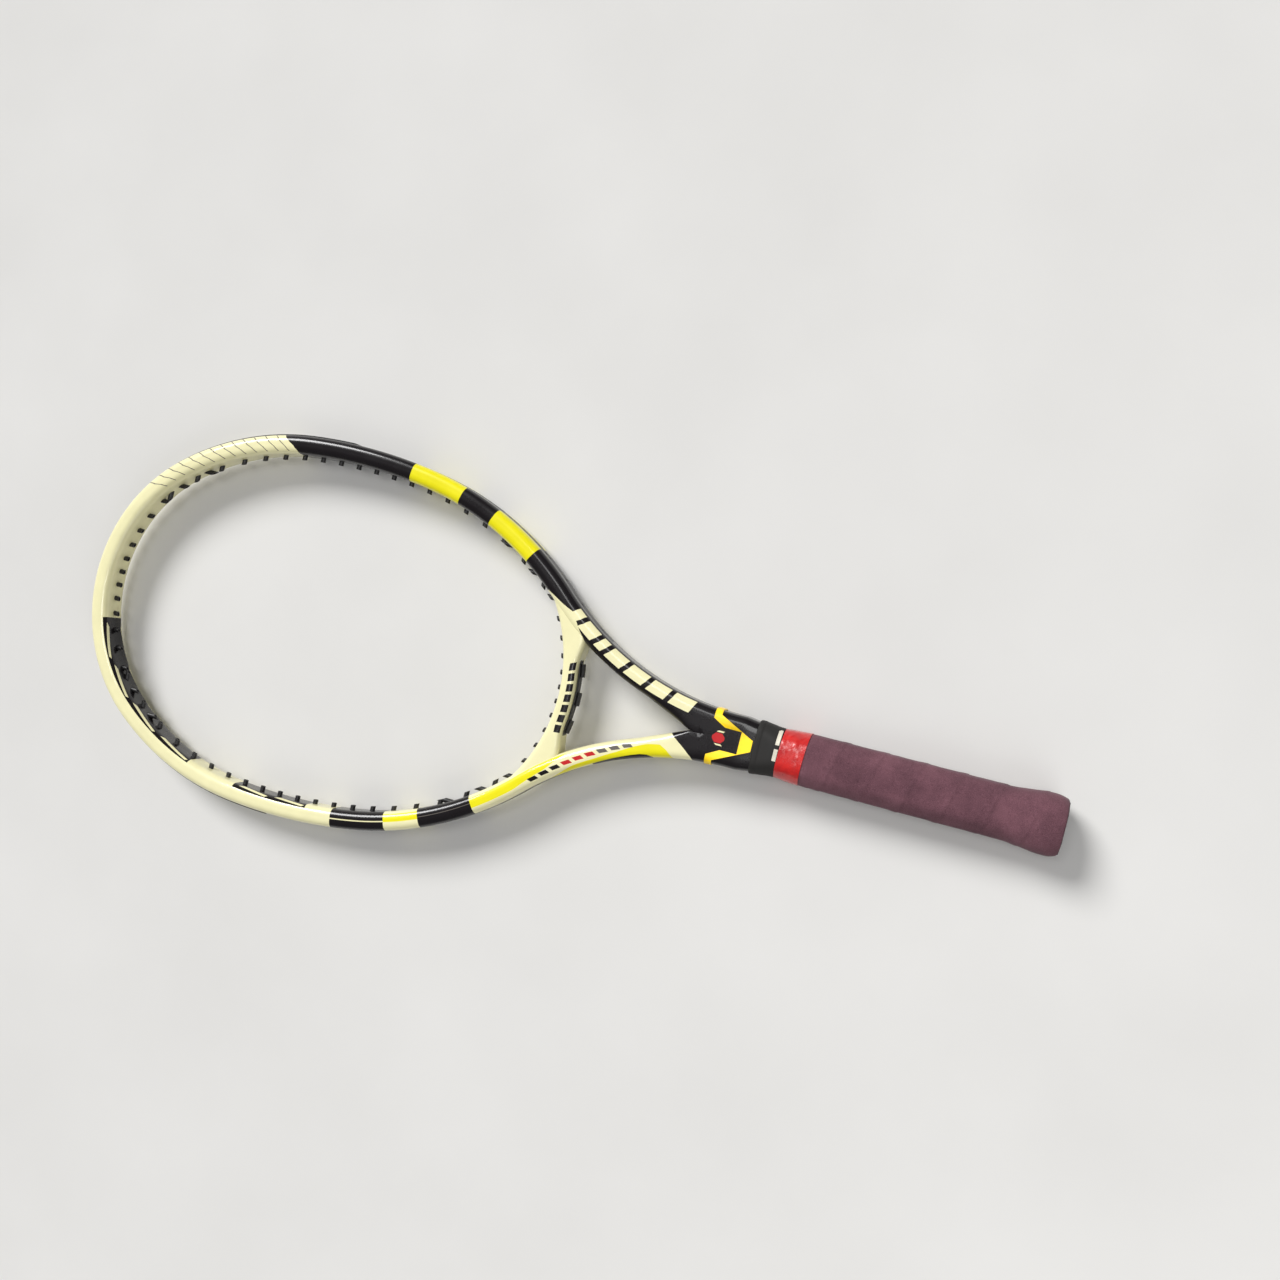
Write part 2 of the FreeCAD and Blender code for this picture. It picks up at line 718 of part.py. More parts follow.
def string_pads():
    """Three soft pads on the back of the bridge strip, under the strings that turn there."""
    pads = []
    centre = Vector(dim("bridge_face") + dim("bridge_radius"), 0, 0)
    for side in (-1, 0, 1):
        pad = bridge_band(strip_back, strip_back + dim("bridge_pad_height"), dim("bridge_pad_width"), 1,
                          dim("bridge_pad_length") / 2)
        pad.rotate(centre, Z_AXIS, side * dim("bridge_pad_turn"))
        pads.append(pad)
    return Part.makeCompound(pads)


feature("bridge_string_pads", string_pads())

# ---------------------------------------------------------------- checks and export

doc.recompute()
for item in doc.Objects:
    if "Invalid" in item.State or "Error" in item.State:
        raise ValueError(f"{item.Name} did not compute")
os.makedirs("parts", exist_ok=True)
for item in subparts:
    if item.Shape.isNull() or not item.Shape.isValid():
        raise ValueError(f"{item.Label} has no valid shape")
    item.Shape.exportStep(f"parts/{item.Label}.step")
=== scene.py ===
import math

import bmesh
import bpy
from mathutils import Matrix, Vector, noise


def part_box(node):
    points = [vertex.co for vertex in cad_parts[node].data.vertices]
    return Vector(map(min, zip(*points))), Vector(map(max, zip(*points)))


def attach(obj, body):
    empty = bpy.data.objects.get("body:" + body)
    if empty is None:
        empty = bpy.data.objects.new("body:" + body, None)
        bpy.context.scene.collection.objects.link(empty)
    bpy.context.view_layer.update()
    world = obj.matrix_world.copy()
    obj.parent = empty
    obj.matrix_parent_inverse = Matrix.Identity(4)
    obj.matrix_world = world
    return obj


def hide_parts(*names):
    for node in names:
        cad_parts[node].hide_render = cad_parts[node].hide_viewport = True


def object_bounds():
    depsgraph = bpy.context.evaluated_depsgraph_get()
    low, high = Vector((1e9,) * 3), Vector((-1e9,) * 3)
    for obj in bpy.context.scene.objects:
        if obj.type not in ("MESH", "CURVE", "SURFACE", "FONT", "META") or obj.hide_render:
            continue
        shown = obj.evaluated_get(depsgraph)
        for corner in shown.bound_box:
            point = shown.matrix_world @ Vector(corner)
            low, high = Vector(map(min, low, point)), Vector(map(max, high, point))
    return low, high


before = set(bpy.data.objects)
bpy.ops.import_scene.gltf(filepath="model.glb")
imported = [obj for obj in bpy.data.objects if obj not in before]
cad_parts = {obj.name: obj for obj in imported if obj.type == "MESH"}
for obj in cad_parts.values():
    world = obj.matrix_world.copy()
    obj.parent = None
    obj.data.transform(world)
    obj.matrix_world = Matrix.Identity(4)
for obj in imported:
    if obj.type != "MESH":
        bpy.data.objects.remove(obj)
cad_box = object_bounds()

# Lengths below are millimetres with X from the butt, Y across the string bed and Z out of it,
# counted from the racket's middle plane. to_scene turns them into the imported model's metres.
MM = 0.001
BUTT_X = cad_box[0].x
frame_low, frame_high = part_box("frame_hairpin")
MIDDLE_Z = (frame_low.z + frame_high.z) / 2
FRAME_TIP = (frame_high.x - BUTT_X) / MM
TUBE_HALF_DEPTH = (frame_high.z - frame_low.z) / 2 / MM
COLLAR_TOP = (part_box("rubber_collar")[1].x - BUTT_X) / MM
OVERGRIP_TOP = (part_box("overgrip")[1].x - BUTT_X) / MM
TAPE_START = (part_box("overgrip_finishing_tape")[0].x - BUTT_X) / MM
TAPE_TOP = (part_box("overgrip_finishing_tape")[1].x - BUTT_X) / MM
STRIP_END = (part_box("grommet_strip_left")[0].x - BUTT_X) / MM

TUBE_WIDTH = 13
TUBE_CORNER = 5
# An inner corner's radius is at most this share of the tube's width, and never sharper than the least.
INNER_CORNER_SHARE = 0.45
INNER_CORNER_LEAST = 0.02
GROOVE_DEPTH = 1.6
GROOVE_HALF = 3.5
# The groove's floor stops this short of its edge, where its wall begins.
GROOVE_WALL = 0.05
OUTLINE_ARCS = [(118, 52.9), (179, 31.8), (351, 15.8), (220, 33), (186, -43.5)]
NOTCH_APEX = 238.4
NOTCH_SLOPE = 0.42
WEB_TOP = 300
WEB_BLEND = 20
# The inner corners fade out between these X, where the two halves meet over the middle.
CREST_LOW = 226
CREST_HIGH = 252
# Below this X the shafts narrow towards the handle: slope of each side, and of each face.
TAPER_TOP = 204
SIDE_TAPER = 0.15
FACE_TAPER = 3 / 32
BRIDGE_CENTRE = 438
BRIDGE_RADIUS = 108
BRIDGE_THICKNESS = 10


def to_scene(x, y, z):
    return Vector((BUTT_X + x * MM, y * MM, MIDDLE_Z + z * MM))


def smooth_step(value, low, high):
    fraction = min(max((value - low) / (high - low), 0.0), 1.0)
    return fraction * fraction * (3 - 2 * fraction)


# ---------------------------------------------------------------- materials

def material(name, roughness=0.5, coat=0.0, coat_roughness=0.05, sheen=0.0, specular=0.5):
    """A Principled material; returns it with its node tree and shader."""
    result = bpy.data.materials.new(name)
    result.use_nodes = True
    shader = result.node_tree.nodes["Principled BSDF"]
    shader.inputs["Roughness"].default_value = roughness
    shader.inputs["Coat Weight"].default_value = coat
    shader.inputs["Coat Roughness"].default_value = coat_roughness
    shader.inputs["Sheen Weight"].default_value = sheen
    shader.inputs["Specular IOR Level"].default_value = specular
    return result, result.node_tree, shader


def noise_node(tree, scale, detail=4.0, rough=0.5):
    """Noise in the object's own metres: scale is features per metre."""
    place = tree.nodes.new("ShaderNodeTexCoord")
    texture = tree.nodes.new("ShaderNodeTexNoise")
    texture.inputs["Scale"].default_value = scale
    texture.inputs["Detail"].default_value = detail
    texture.inputs["Roughness"].default_value = rough
    tree.links.new(place.outputs["Object"], texture.inputs["Vector"])
    return texture.outputs["Fac"]


def ramp(tree, source, stops):
    """A colour ramp over a 0-1 signal; stops are (position, (r, g, b))."""
    node = tree.nodes.new("ShaderNodeValToRGB")
    elements = node.color_ramp.elements
    while len(elements) < len(stops):
        elements.new(0.5)
    for element, (position, colour) in zip(elements, stops):
        element.position = position
        element.color = (*colour, 1)
    tree.links.new(source, node.inputs["Fac"])
    return node.outputs["Color"]


def value_range(tree, source, low, high):
    node = tree.nodes.new("ShaderNodeMapRange")
    node.inputs["To Min"].default_value = low
    node.inputs["To Max"].default_value = high
    tree.links.new(source, node.inputs["Value"])
    return node.outputs["Result"]


def bump(tree, shader, source, distance, strength=1.0, after=None):
    node = tree.nodes.new("ShaderNodeBump")
    node.inputs["Distance"].default_value = distance
    node.inputs["Strength"].default_value = strength
    tree.links.new(source, node.inputs["Height"])
    if after:
        tree.links.new(after, node.inputs["Normal"])
    tree.links.new(node.outputs["Normal"], shader.inputs["Normal"])
    return node.outputs["Normal"]


def mix(tree, factor, first, second):
    node = tree.nodes.new("ShaderNodeMix")
    node.data_type = "RGBA"
    tree.links.new(factor, node.inputs["Factor"])
    for socket, colour in ((node.inputs["A"], first), (node.inputs["B"], second)):
        if isinstance(colour, tuple):
            socket.default_value = (*colour, 1)
        else:
            tree.links.new(colour, socket)
    return node.outputs["Result"]


def shade(colour, factor):
    return tuple(channel * factor for channel in colour)


def lacquer(name, colour, worn, roughness=0.32, coat=0.7):
    """Glossy clear-coated paint: faint mottling, orange peel, and fine scuffs that dull it."""
    result, tree, shader = material(name, roughness, coat=coat, coat_roughness=0.06,
                                    specular=0.3)
    mottle = noise_node(tree, 90, 5)
    base = ramp(tree, mottle, [(0.3, shade(colour, 0.94)), (0.7, colour)])
    scuffs = ramp(tree, noise_node(tree, 900, 8, 0.75), [(0.66, (0, 0, 0)), (0.74, (1, 1, 1))])
    patches = ramp(tree, noise_node(tree, 25, 3), [(0.5, (0, 0, 0)), (0.68, (1, 1, 1))])
    both = tree.nodes.new("ShaderNodeMath")
    both.operation = "MULTIPLY"
    tree.links.new(scuffs, both.inputs[0])
    tree.links.new(patches, both.inputs[1])
    tree.links.new(mix(tree, both.outputs[0], base, worn), shader.inputs["Base Color"])
    tree.links.new(value_range(tree, mottle, roughness * 0.8, roughness * 1.3), shader.inputs["Roughness"])
    bump(tree, shader, noise_node(tree, 700, 2), 0.00004, 0.5)
    return result


def moulded(name, colour, roughness=0.5, grain=2500, depth=0.00005, coat=0.0):
    """Moulded plastic or rubber with a fine even grain and slight dust."""
    result, tree, shader = material(name, roughness, coat=coat, coat_roughness=0.25)
    cloud = noise_node(tree, 60, 6, 0.6)
    dusty = ramp(tree, cloud, [(0.35, colour), (0.75, shade(colour, 1.7))])
    tree.links.new(dusty, shader.inputs["Base Color"])
    tree.links.new(value_range(tree, cloud, roughness * 0.85, roughness * 1.15), shader.inputs["Roughness"])
    bump(tree, shader, noise_node(tree, grain, 3), depth, 0.6)
    return result


WHITE = (0.88, 0.83, 0.49)
BLACK = (0.007, 0.005, 0.006)
YELLOW = (0.86, 0.78, 0.004)
GOLD = (0.86, 0.58, 0.006)
RED = (0.55, 0.012, 0.015)

white_lacquer = lacquer("white_lacquer", WHITE, (0.55, 0.52, 0.46))
black_lacquer = lacquer("black_lacquer", BLACK, (0.06, 0.055, 0.055), 0.26, 0.35)
yellow_lacquer = lacquer("yellow_lacquer", YELLOW, (0.55, 0.47, 0.08))
red_lacquer = lacquer("red_lacquer", RED, (0.3, 0.05, 0.05))
grey_lacquer = lacquer("grey_lacquer", (0.13, 0.115, 0.1), (0.1, 0.1, 0.1))
PAINTS = {"white": white_lacquer, "black": black_lacquer, "yellow": yellow_lacquer,
          "red": red_lacquer, "grey": grey_lacquer}
PAINT_ORDER = list(PAINTS)

# ---------------------------------------------------------------- the frame's outline

def outline_arcs():
    """Each arc's start, centre, radius, turn and length, from the tip round one side."""
    point = Vector((FRAME_TIP, 0))
    heading = math.pi / 2
    arcs = []
    for radius, degrees in OUTLINE_ARCS:
        turn = math.radians(degrees)
        side = math.copysign(math.pi / 2, turn)
        centre = point + radius * Vector((math.cos(heading + side), math.sin(heading + side)))
        arcs.append((point, centre, heading, turn, radius * abs(turn)))
        point = centre + Matrix.Rotation(turn, 2) @ (point - centre)
        heading += turn
    return arcs, point


ARCS, SHAFT_START = outline_arcs()
ARC_LENGTH = sum(arc[4] for arc in ARCS)


def outline(distance):
    """Point on the frame's outer edge and its outward direction, at a distance from the tip."""
    left = distance
    for start, centre, heading, turn, length in ARCS:
        if left <= length:
            angle = turn * left / length
            point = centre + Matrix.Rotation(angle, 2) @ (start - centre)
            direction = heading + angle - math.pi / 2
            return point, Vector((math.cos(direction), math.sin(direction)))
        left -= length
    x = SHAFT_START.x - left
    return Vector((x, SHAFT_START.y - SIDE_TAPER * max(TAPER_TOP - x, 0))), Vector((0, 1))


# The painted frame ends at this X, hidden under the collar.
FRAME_FOOT = 184.0
FRAME_SPAN = ARC_LENGTH + SHAFT_START.x - FRAME_FOOT


def distance_at(x):
    """Distance from the tip, along the outer edge, of the point at a given X."""
    low, high = 0.0, FRAME_SPAN
    for _ in range(40):
        middle = (low + high) / 2
        if outline(middle)[0].x > x:
            low = middle
        else:
            high = middle
    return low


def on_frame(x, y):
    """Distance along the outer edge and depth inwards from it, of a point seen from above."""
    target = Vector((x, abs(y)))
    best = min((FRAME_SPAN * step / 600 for step in range(601)),
               key=lambda distance: (outline(distance)[0] - target).length)
    for reach in (0.5, 0.1, 0.02):
        best = min((best + reach * step for step in (-1.5, -1, -0.5, 0, 0.5, 1, 1.5)),
                   key=lambda distance: (outline(distance)[0] - target).length)
    point, outward = outline(best)
    return best, (point - target).dot(outward)


def tube_width(distance):
    """Width of the frame seen from above: a tube round the head, spreading into the throat web."""
    point, outward = outline(distance)
    if point.x > WEB_TOP:
        return TUBE_WIDTH, 1.0
    to_notch = (point.y - NOTCH_SLOPE * (point.x - NOTCH_APEX)) / (outward.y - NOTCH_SLOPE * outward.x)
    to_middle = point.y / outward.y
    fade = 1 - smooth_step(point.x, WEB_TOP - WEB_BLEND, WEB_TOP)
    spread = TUBE_WIDTH + max(to_notch - TUBE_WIDTH, 0) * fade
    blend = smooth_step(to_notch - TUBE_WIDTH, -1.0, 1.0)
    width = TUBE_WIDTH + (spread - TUBE_WIDTH) * blend
    return min(width, to_middle), smooth_step(point.x, CREST_LOW, CREST_HIGH)


# ---------------------------------------------------------------- painted tubes

class PaintedTube:
    """A rounded tube unrolled flat, so that paint edges can be cut as straight lines, then rolled up.

    Across the flat sheet, ring runs once round the section: 0-1 outer wall, 1-2 outer front corner,
    2-3 front face, 3-4 inner front corner, 4-5 inner wall, then the same back to 8.
    """
    RING_SCALE = 5.0

    def __init__(self, stops, columns, section):
        self.section = section
        self.bm = bmesh.new()
        rows = [[self.bm.verts.new((stop, ring * self.RING_SCALE, 0)) for ring in columns] for stop in stops]
        for near, far in zip(rows, rows[1:]):
            for index in range(len(columns) - 1):
                self.bm.faces.new((near[index], near[index + 1], far[index + 1], far[index]))

    def ring_at(self, distance, depth):
        """Ring value of the front surface at a depth inwards from the outer edge."""
        width, outer_corner, inner_corner = self.section(distance)[:3]
        depth = min(max(depth, 0.0), width)
        if depth < outer_corner:
            return 1 + math.acos(1 - depth / outer_corner) / (math.pi / 2)
        if depth > width - inner_corner:
            return 3 + math.asin(min((depth - width + inner_corner) / inner_corner, 1)) / (math.pi / 2)
        flat = max(width - outer_corner - inner_corner, 1e-6)
        return 2 + (depth - outer_corner) / flat

    def flat_edge(self, start, end, parts=6):
        """Points of a straight line seen from above, on the unrolled sheet."""
        points = []
        for step in range(parts + 1):
            share = step / parts
            distance = start[0] + (end[0] - start[0]) * share
            depth = start[1] + (end[1] - start[1]) * share
            points.append(Vector((distance, self.ring_at(distance, depth) * self.RING_SCALE)))
        return points

    def cut(self, start, end):
        """Cuts the sheet along a line from start to end."""
        along = end - start
        if along.length < 1e-6:
            return
        margin = 0.01
        low = Vector((min(start.x, end.x) - margin, min(start.y, end.y) - margin))
        high = Vector((max(start.x, end.x) + margin, max(start.y, end.y) + margin))
        chosen = []
        for face in self.bm.faces:
            xs = [vert.co.x for vert in face.verts]
            if max(xs) < low.x or min(xs) > high.x:
                continue
            ys = [vert.co.y for vert in face.verts]
            if max(ys) < low.y or min(ys) > high.y:
                continue
            chosen.append(face)
        edges = {edge for face in chosen for edge in face.edges}
        verts = {vert for face in chosen for vert in face.verts}
        bmesh.ops.bisect_plane(self.bm, geom=chosen + list(edges) + list(verts), dist=1e-4,
                               plane_co=(start.x, start.y, 0), plane_no=(-along.y, along.x, 0))

    def mirrored(self, points):
        """The same outline on the back of the tube."""
        return [Vector((point.x, 9 * self.RING_SCALE - point.y)) for point in points]

    def paint_outline(self, points, paint):
        """Cuts an outline into the sheet and paints what is inside it."""
        ends = points[1:] + points[:1]
        for start, end in zip(points, ends):
            self.cut(start, end)
        low = min(point.x for point in points)
        high = max(point.x for point in points)
        for face in self.bm.faces:
            middle = face.calc_center_median()
            if low < middle.x < high and inside(middle, points):
                face.material_index = PAINT_ORDER.index(paint)

    def patch(self, corners, paint, both=True, parts=3):
        """Paints a shape with straight sides seen from above; corners are (distance, depth)."""
        points = []
        for start, end in zip(corners, corners[1:] + corners[:1]):
            points += self.flat_edge(start, end, parts)[:-1]
        self.paint_outline(points, paint)
        if both:
            self.paint_outline(self.mirrored(points), paint)

    def zone(self, start, end, paint):
        """Paints right round the tube between two edges, each (outer distance, inner distance)."""
        scale = self.RING_SCALE
        edges = []
        for outer, inner in (start, end):
            front = self.flat_edge((outer, 0), (inner, self.section(inner)[0]))
            back = self.mirrored(front)[::-1]
            edges.append([Vector((outer, 0))] + front + back + [Vector((outer, 8 * scale))])
        self.paint_outline(edges[0] + edges[1][::-1], paint)


def inside(point, outline_points):
    """Whether a point is inside a closed outline."""
    crossed = False
    previous = outline_points[-1]
    for current in outline_points:
        if (current.y > point.y) != (previous.y > point.y):
            x = previous.x + (point.y - previous.y) * (current.x - previous.x) / (current.y - previous.y)
            if point.x < x:
                crossed = not crossed
        previous = current
    return crossed


def section_offset(ring, width, half_depth, outer_corner, inner_corner, groove):
    """Depth inwards from the outer edge, and height, of a point of the section."""
    piece = min(int(ring), 7)
    share = ring - piece
    if piece > 4:
        depth, height = section_offset(9 - ring, width, half_depth, outer_corner, inner_corner, groove)
        return depth, -height
    angle = share * math.pi / 2
    if piece == 0:
        height = (2 * share - 1) * (half_depth - outer_corner)
        return (groove if abs(height) < GROOVE_HALF - GROOVE_WALL else 0.0), height
    if piece == 1:
        return outer_corner * (1 - math.cos(angle)), half_depth - outer_corner * (1 - math.sin(angle))
    if piece == 2:
        return outer_corner + share * (width - outer_corner - inner_corner), half_depth
    if piece == 3:
        return (width - inner_corner * (1 - math.sin(angle)),
                half_depth - inner_corner * (1 - math.cos(angle)))
    return width, (1 - 2 * share) * (half_depth - inner_corner)


def ring_columns(groove):
    """Ring values of the sheet's columns, with the string groove's edges where there is one."""
    wall = [0, 0.12, 0.5, 0.88]
    if groove:
        edge = (1 - GROOVE_HALF / (TUBE_HALF_DEPTH - TUBE_CORNER)) / 2
        slope = 0.02
        wall = [0, edge / 2, edge - slope / 4, edge + slope, 0.5,
                1 - edge - slope, 1 - edge + slope / 4, 1 - edge / 2]
    corner = [step / 6 for step in range(6)]
    flat = [0, 0.25, 0.5, 0.75]
    inner = [0, 0.2, 0.4, 0.6, 0.8]
    pieces = [wall, corner, flat, corner, inner, corner, flat, corner]
    return [piece + share for piece, shares in enumerate(pieces) for share in shares] + [8]


def frame_section(distance):
    width, fullness = tube_width(distance)
    x = outline(distance)[0].x
    inner_corner = max(min(TUBE_CORNER, INNER_CORNER_SHARE * width) * fullness, INNER_CORNER_LEAST)
    half_depth = TUBE_HALF_DEPTH - FACE_TAPER * max(TAPER_TOP - x, 0)
    groove = GROOVE_DEPTH if x > STRIP_END else 0.0
    return width, TUBE_CORNER, inner_corner, half_depth, groove


def roll_frame(tube, side):
    """Rolls one half of the frame's sheet up to its real shape."""
    for vert in tube.bm.verts:
        distance, ring = vert.co.x, vert.co.y / tube.RING_SCALE
        width, outer_corner, inner_corner, half_depth, groove = frame_section(distance)
        point, outward = outline(distance)
        depth, height = section_offset(ring, width, half_depth, outer_corner, inner_corner, groove)
        flat = point - outward * depth
        vert.co = to_scene(flat.x, side * flat.y, height)


def join_parts(parts):
    """One bmesh from several."""
    whole = bmesh.new()
    for part in parts:
        mesh = bpy.data.meshes.new("part")
        part.to_mesh(mesh)
        whole.from_mesh(mesh)
        part.free()
        bpy.data.meshes.remove(mesh)
    return whole


def finish_mesh(name, bm, paints, body, replaced, sharp_degrees=38):
    """Turns a bmesh into a piece, smooth except at sharp edges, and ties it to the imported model."""
    bmesh.ops.recalc_face_normals(bm, faces=bm.faces)
    for face in bm.faces:
        face.smooth = True
    for edge in bm.edges:
        edge.smooth = len(edge.link_faces) == 2 and edge.calc_face_angle(0) < math.radians(sharp_degrees)
    mesh = bpy.data.meshes.new(name)
    bm.to_mesh(mesh)
    bm.free()
    for paint in paints:
        mesh.materials.append(paint)
    piece = bpy.data.objects.new(name, mesh)
    bpy.context.scene.collection.objects.link(piece)
    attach(piece, body)
    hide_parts(*replaced)


# ---------------------------------------------------------------- frame and its paint

def frame_stops():
    stops = [FRAME_SPAN * step / 240 for step in range(241)]
    groove_end = distance_at(STRIP_END)
    return sorted(stops + [groove_end - 0.1, groove_end + 0.1])


def inner_edge(distance):
    """Point on the frame's inner edge, at a distance from the tip."""
    point, outward = outline(distance)
    return point - outward * tube_width(distance)[0]


def edge_at(outer_x, inner_x=None):
    """A paint edge across the tube, given by X on the outer and on the inner edge."""
    outer = distance_at(outer_x)
    if inner_x is None:
        return outer, outer
    near = [outer + step for step in range(-60, 61) if 0 <= outer + step <= FRAME_SPAN]
    inner = min(near, key=lambda distance: abs(inner_edge(distance).x - inner_x))
    return outer, inner


# X of the colour changes along the two sides of the head, from the tip down.
TIP_WHITE_OUTER = 565.9
TIP_WHITE_INNER = 550
PANEL_TOP = 465
PANEL_FOOT = 425
LOWER_PANEL_TOP = 401
LOWER_PANEL_FOOT = 366
LINE_WIDTH = 0.8


def stripe(tube, from_x, to_x, shallow, deep, paint):
    """A stripe that follows the tube between two depths."""
    start, end = distance_at(from_x), distance_at(to_x)
    parts = max(int(abs(end - start) / 6), 1)
    tube.patch([(start, shallow), (end, shallow), (end, deep), (start, deep)], paint, True, parts)


def plan_patch(tube, corners, paint):
    """A patch whose corners are X and Y seen from above."""
    tube.patch([on_frame(x, y) for x, y in corners], paint)


def wall_band(tube, start, end, paint, low=3.35, high=4.5):
    """Paints the inner wall between two distances, from a ring value down to another, on both faces."""
    scale = tube.RING_SCALE
    points = [Vector((start, low * scale)), Vector((end, low * scale)),
              Vector((end, high * scale)), Vector((start, high * scale))]
    tube.paint_outline(points, paint)
    tube.paint_outline(tube.mirrored(points), paint)


def slanted_bars(tube, start, lengths, gap, depths, slant, paint):
    """Plain slanted bars in a row along the tube."""
    shallow, deep = depths
    for length in lengths:
        end = start + length
        tube.patch([(start, shallow), (end, shallow), (end + slant, deep), (start + slant, deep)], paint)
        start = end + gap


def paint_upper_side(tube):
    """Black side: white tip with dark hatching, two yellow panels, pale slanted bars on the leg."""
    tip_edge = edge_at(TIP_WHITE_OUTER, TIP_WHITE_INNER)
    tube.zone((-1, -1), tip_edge, "white")
    tube.zone(tip_edge, (FRAME_SPAN + 1, FRAME_SPAN + 1), "black")
    tube.zone(edge_at(PANEL_TOP + 0.8), edge_at(PANEL_FOOT + 1), "yellow")
    tube.zone(edge_at(LOWER_PANEL_TOP - 1), edge_at(LOWER_PANEL_FOOT), "yellow")
    first, last = distance_at(660), distance_at(572)
    lines, line_depths, line_slant = 13, (0.5, 11.5), 11
    for index in range(lines):
        distance = first + (last - first) * index / (lines - 1)
        slanted_bars(tube, distance, (LINE_WIDTH,), 0, line_depths, line_slant, "grey")
    bar_lengths, bar_gap, bar_depths, bar_slant = (7, 12, 6, 13, 14, 13, 14.5), 3.4, (0.8, 9.2), -2.6
    slanted_bars(tube, distance_at(328), bar_lengths, bar_gap, bar_depths, bar_slant, "white")
    paint_bridge_root(tube)
    paint_emblem(tube)


def paint_emblem(tube):
    """Half of a plain red lozenge between two pale flecks, on the middle of the throat."""
    plan_patch(tube, [(224, 0.01), (221, 3.2), (217, 3.2), (214, 0.01)], "red")
    plan_patch(tube, [(216.5, 3.8), (221, 3.8), (219.5, 4.8), (215.5, 4.8)], "white")


def paint_bridge_root(tube):
    """The bridge's white paint runs out over the leg's inner side."""
    corners = [on_frame(353, -66), on_frame(340, -59), on_frame(333, -56), on_frame(322, -40.5)]
    points = []
    for start, end in zip(corners, corners[1:]):
        points += tube.flat_edge(start, end, 3)
    middle_ring = 4.5 * tube.RING_SCALE
    points += [Vector((corners[-1][0], middle_ring)), Vector((corners[0][0], middle_ring))]
    tube.paint_outline(points, "white")
    tube.paint_outline(tube.mirrored(points), "white")


def paint_lower_side(tube):
    """White side: white round the head and down the leg, two black panels, yellow stripes."""
    foot = on_frame(250, 5.9)[0], on_frame(231.3, 17.5)[0]
    tube.zone((-1, -1), edge_at(PANEL_TOP - 1), "white")
    tube.zone(edge_at(PANEL_TOP - 1), edge_at(PANEL_FOOT), "black")
    tube.zone(edge_at(PANEL_FOOT), edge_at(LOWER_PANEL_TOP), "white")
    tube.zone(edge_at(LOWER_PANEL_TOP), edge_at(LOWER_PANEL_FOOT), "black")
    tube.zone(edge_at(LOWER_PANEL_FOOT), (foot[1], foot[0]), "white")
    tube.zone((foot[1], foot[0]), (FRAME_SPAN + 1, FRAME_SPAN + 1), "black")
    stripe(tube, PANEL_FOOT, LOWER_PANEL_TOP, 6.2, 11.4, "yellow")
    stripe(tube, PANEL_TOP - 1, PANEL_FOOT, 6.3, 7.1, "white")
    stripe(tube, LOWER_PANEL_TOP, LOWER_PANEL_FOOT, 7.2, 7.7, "grey")
    tapered = [(distance_at(x), depth) for x, depth in
               ((366, 4.2), (340, 4.2), (323, 6.7), (308, 11.8), (340, 10.8), (366, 10.8))]
    tube.patch(tapered, "yellow")
    lower_edge = [(distance_at(x), depth) for x, depth in
                  ((257.7, 0.5), (261, 2.1), (265.5, 2.7), (270.4, 2.5), (282.8, 1.7), (295.5, 0.8))]
    upper_edge = [on_frame(x, y) for x, y in
                  ((323, 56.5), (308, 41.8), (295, 33.8), (282, 26), (271, 19.4), (263, 15.6), (255, 13.9),
                   (250.5, 16), (243, 22))]
    tube.patch(upper_edge + [(distance_at(253), 0)] + lower_edge + [(distance_at(312), 0)], "yellow")
    # Painted shade: black under the stripe's foot and over the leg's outer wall, standing in for that wall's
    # shadow.
    paint_shade_under_stripe(tube, lower_edge)
    first_dash, dash_pitch, dash_length, dash_slant = distance_at(331), 8.2, 5.8, -1.8
    shallow, deep, rise_per_dash = 3.0, 5.7, 0.55
    for index, paint in enumerate(["black"] * 3 + ["red"] * 3 + ["grey"] * 3):
        rise = rise_per_dash * index
        depths = (shallow + rise, deep + rise)
        slanted_bars(tube, first_dash + dash_pitch * index, (dash_length,), 0, depths, dash_slant, paint)
    paint_inner_wall(tube)
    paint_emblem(tube)


def paint_shade_under_stripe(tube, corners):
    """Black painted under the yellow stripe's foot and right over the leg's outer wall: painted shade where
    that wall lies in shadow.
    """
    points = []
    for start, end in zip(corners, corners[1:]):
        points += tube.flat_edge(start, end, 2)
    below = [Vector((corners[-1][0], tube.RING_SCALE)), Vector((corners[0][0], tube.RING_SCALE))]
    tube.paint_outline(points + below, "black")
    tube.paint_outline(tube.mirrored(points + below), "black")
    wall = [Vector((corners[0][0], 0)), Vector((corners[-1][0], 0))]
    tube.paint_outline(below + wall, "black")


def paint_inner_wall(tube):
    """Two black panels inside the head with long pale flashes in them."""
    for near, far, flashes in (((665, 28), (578, 109.5), 4), ((541, 115.5), (485, 117.6), 2)):
        start, end = on_frame(*near)[0], on_frame(*far)[0]
        wall_band(tube, start, end, "black")
        step = (end - start) / flashes
        for index in range(flashes):
            flash = start + step * index
            corners = ((flash + 4, 3.7), (flash + step - 3, 3.45),
                       (flash + step - 1, 3.62), (flash + 8, 3.95))
            points = [Vector((distance, ring * tube.RING_SCALE)) for distance, ring in corners]
            tube.paint_outline(points, "white")
            tube.paint_outline(tube.mirrored(points), "white")


# The two halves are joined where their points lie closer than this, in metres.
SEAM_MERGE = 5e-5


